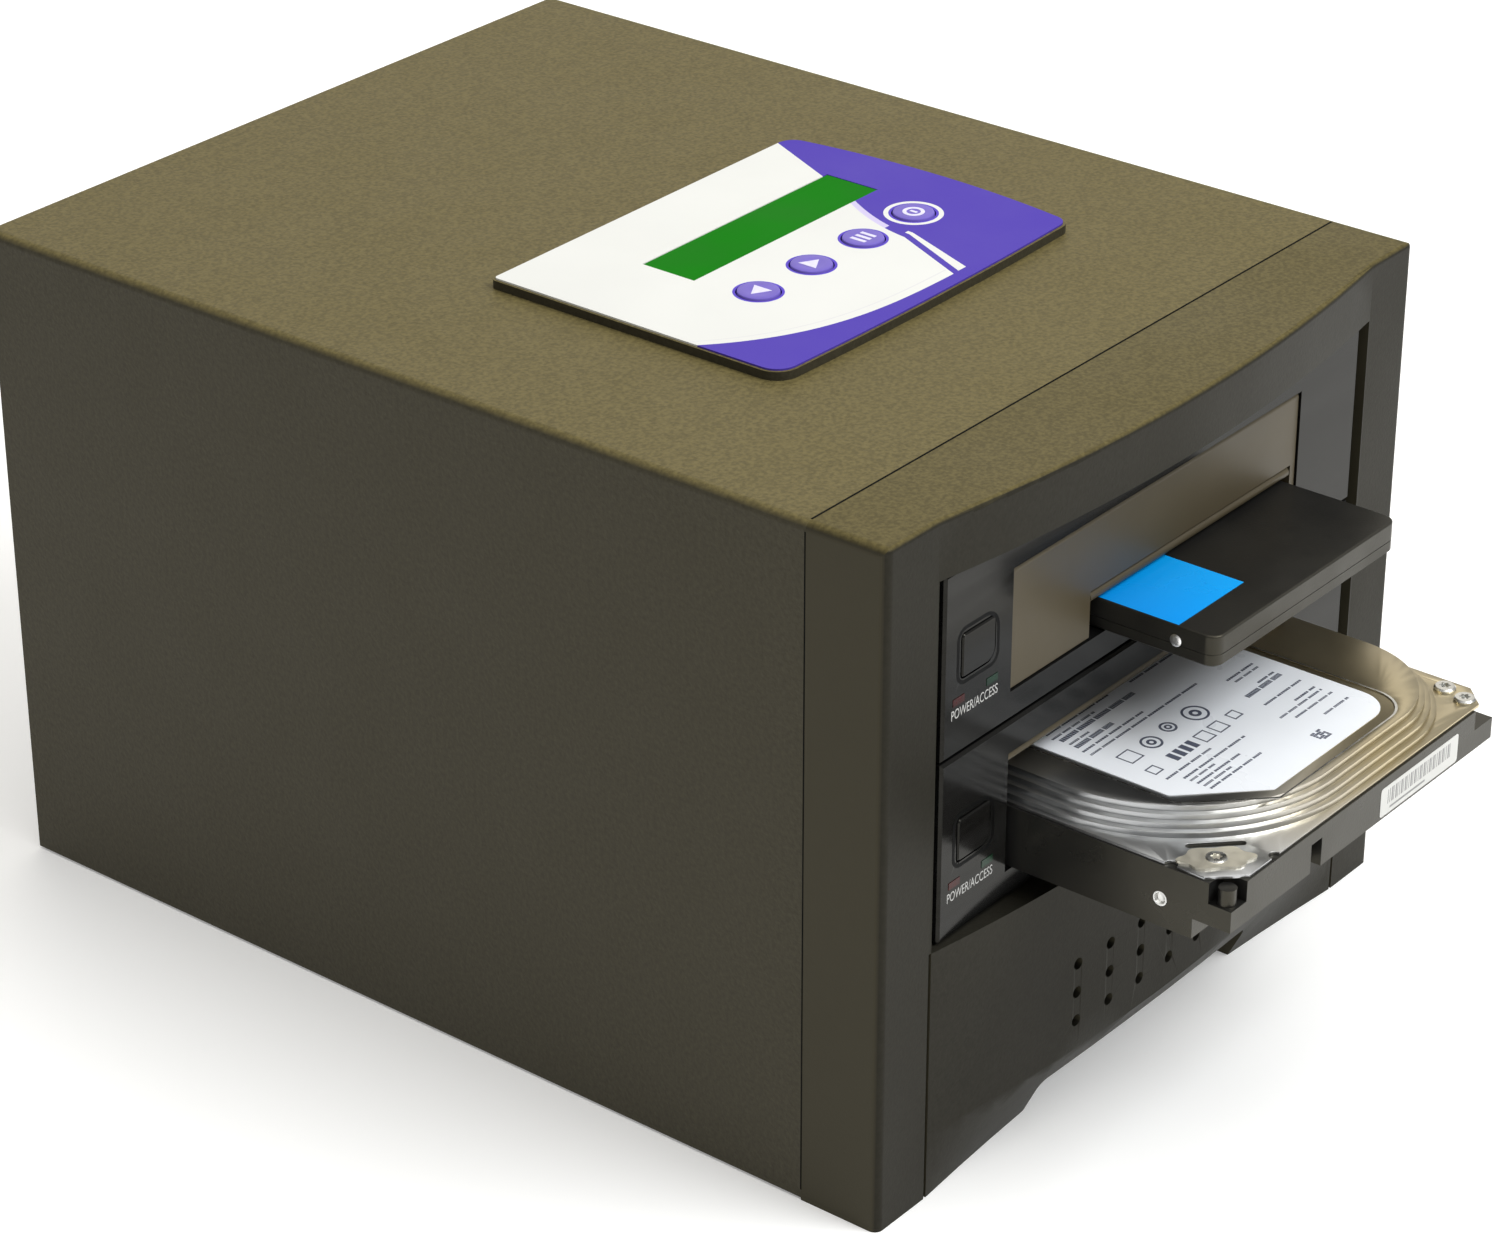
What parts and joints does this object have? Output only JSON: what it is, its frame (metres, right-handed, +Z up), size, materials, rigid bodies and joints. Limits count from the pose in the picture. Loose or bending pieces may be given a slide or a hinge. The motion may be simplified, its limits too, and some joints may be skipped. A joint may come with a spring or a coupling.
{
  "type": "hard drive duplicator",
  "caption": "Small upright steel case with a bulged front, two flap-fronted drive racks holding a slim and a full-size drive, and a raised panel with display and round keys on top.",
  "frame": {"origin": "middle of the whole outline seen from above, on the table", "axes": "+Z up, +Y towards the rear of the case, the drives stand out towards -Y, +X to the right seen from the front"},
  "size_m": [0.191, 0.3034, 0.1608],
  "materials": {
    "cover_paint": "textured powder coat",
    "chassis_steel": "zinc plated sheet",
    "panel_paint": "black powder coat",
    "bezel_plastic": "fine moulded texture",
    "foot_rubber": "soft",
    "screw_steel": "nickel plated",
    "rack_plastic": "moulded",
    "face_plastic": "polished",
    "flap_plastic": "polished",
    "button_plastic": "satin",
    "red_lens": "tinted",
    "green_lens": "tinted",
    "circuit_board": "solder mask",
    "socket_plastic": "moulded",
    "panel_plastic": "satin",
    "panel_film": "printed film",
    "lcd_glass": "green display window",
    "key_plastic": "printed key",
    "standoff_nylon": "nylon",
    "inlet_plastic": "moulded",
    "rocker_plastic": "moulded",
    "fan_plastic": "moulded",
    "guard_wire": "bright wire",
    "hdd_casting": "black coated casting",
    "hdd_steel": "stamped stainless",
    "ssd_case": "fine texture"
  },
  "bodies": {
    "case": {"chassis_pan": "chassis_steel", "front_plate": "chassis_steel", "rear_panel": "panel_paint", "top_cover": "cover_paint", "front_bezel": "bezel_plastic", "rubber_feet": "foot_rubber", "cover_screws": "screw_steel", "left_bay_bracket": "chassis_steel", "right_bay_bracket": "chassis_steel", "rack_screws": "screw_steel", "control_plate": "panel_plastic", "control_film": "panel_film", "lcd_window": "lcd_glass", "lcd_module": "circuit_board", "key_board": "circuit_board", "board_standoffs": "standoff_nylon", "controller_board": "circuit_board", "psu_case": "chassis_steel", "power_inlet": "inlet_plastic", "rocker_housing": "inlet_plastic", "psu_fan_frame": "fan_plastic", "rear_fan_frame": "fan_plastic", "rear_fan_guard": "guard_wire", "fan_screws": "screw_steel", "upper_rack_shell": "rack_plastic", "upper_faceplate": "face_plastic", "upper_backplane": "circuit_board", "upper_sata_socket": "socket_plastic", "upper_switch_board": "circuit_board", "upper_red_lens": "red_lens", "upper_green_lens": "green_lens", "upper_flap_pin": "screw_steel", "lower_rack_shell": "rack_plastic", "lower_faceplate": "face_plastic", "lower_backplane": "circuit_board", "lower_sata_socket": "socket_plastic", "lower_switch_board": "circuit_board", "lower_red_lens": "red_lens", "lower_green_lens": "green_lens", "lower_flap_pin": "screw_steel"},
    "hdd": {"hdd_base": "hdd_casting", "hdd_cover": "hdd_steel", "hdd_screws": "screw_steel", "hdd_board": "circuit_board", "hdd_plug": "socket_plastic"},
    "ssd": {"ssd_shell": "ssd_case", "ssd_base": "ssd_case"},
    "upper_flap": {"upper_flap": "flap_plastic"},
    "upper_slim_flap": {"upper_slim_flap": "flap_plastic"},
    "lower_flap": {"lower_flap": "flap_plastic"},
    "lower_slim_flap": {"lower_slim_flap": "flap_plastic"},
    "upper_button": {"upper_power_button": "button_plastic"},
    "lower_button": {"lower_power_button": "button_plastic"},
    "rocker": {"power_rocker": "rocker_plastic"},
    "rear_fan": {"rear_fan_rotor": "fan_plastic"},
    "psu_fan": {"psu_fan_rotor": "fan_plastic"},
    "key_1": {"key_1": "key_plastic"},
    "key_2": {"key_2": "key_plastic"},
    "key_3": {"key_3": "key_plastic"},
    "key_4": {"key_4": "key_plastic"}
  },
  "joints": [
    {"name": "hdd_slide", "type": "slide", "parent": "case", "child": "hdd", "axis": [0, -1, 0], "range_m": [-0.0505, 0.105]},
    {"name": "ssd_slide", "type": "slide", "parent": "case", "child": "ssd", "axis": [0, -1, 0], "range_m": [-0.07105, 0.085]},
    {"name": "upper_flap_hinge", "type": "hinge", "parent": "case", "child": "upper_flap", "pos_m": [0, -0.09664, 0.1356], "axis": [1, 0, 0], "range_deg": [0, 85], "stiffness_Nm_per_rad": 0.002, "springref_deg": -34.38},
    {"name": "upper_slim_flap_hinge", "type": "hinge", "parent": "upper_flap", "child": "upper_slim_flap", "pos_m": [0, -0.09664, 0.1184], "axis": [1, 0, 0], "range_deg": [0, 10.23]},
    {"name": "lower_flap_hinge", "type": "hinge", "parent": "case", "child": "lower_flap", "pos_m": [0, -0.09664, 0.0933], "axis": [1, 0, 0], "range_deg": [0, 7.97]},
    {"name": "lower_slim_flap_hinge", "type": "hinge", "parent": "lower_flap", "child": "lower_slim_flap", "pos_m": [0, -0.0797, 0.09032], "axis": [1, 0, 0], "range_deg": [0, 70]},
    {"name": "upper_button_press", "type": "slide", "parent": "case", "child": "upper_button", "axis": [0, 1, 0], "range_m": [0, 0.001], "stiffness_N_per_m": 800, "springref_m": -0.0004},
    {"name": "lower_button_press", "type": "slide", "parent": "case", "child": "lower_button", "axis": [0, 1, 0], "range_m": [0, 0.001], "stiffness_N_per_m": 800, "springref_m": -0.0004},
    {"name": "key_1_press", "type": "slide", "parent": "case", "child": "key_1", "axis": [0, 0, -1], "range_m": [0, 0.0005], "stiffness_N_per_m": 1500, "springref_m": -0.0004},
    {"name": "key_2_press", "type": "slide", "parent": "case", "child": "key_2", "axis": [0, 0, -1], "range_m": [0, 0.0005], "stiffness_N_per_m": 1500, "springref_m": -0.0004},
    {"name": "key_3_press", "type": "slide", "parent": "case", "child": "key_3", "axis": [0, 0, -1], "range_m": [0, 0.0005], "stiffness_N_per_m": 1500, "springref_m": -0.0004},
    {"name": "key_4_press", "type": "slide", "parent": "case", "child": "key_4", "axis": [0, 0, -1], "range_m": [0, 0.0005], "stiffness_N_per_m": 1500, "springref_m": -0.0004},
    {"name": "rocker_tilt", "type": "hinge", "parent": "case", "child": "rocker", "pos_m": [-0.0095, 0.14646, 0.0136], "axis": [0, 0, 1], "range_deg": [-20, 0]},
    {"name": "rear_fan_spin", "type": "hinge", "parent": "case", "child": "rear_fan", "pos_m": [0, 0.14746, 0.104], "axis": [0, 1, 0], "continuous": true},
    {"name": "psu_fan_spin", "type": "hinge", "parent": "case", "child": "psu_fan", "pos_m": [-0.0495, 0.14746, 0.025], "axis": [0, 1, 0], "continuous": true}
  ]
}
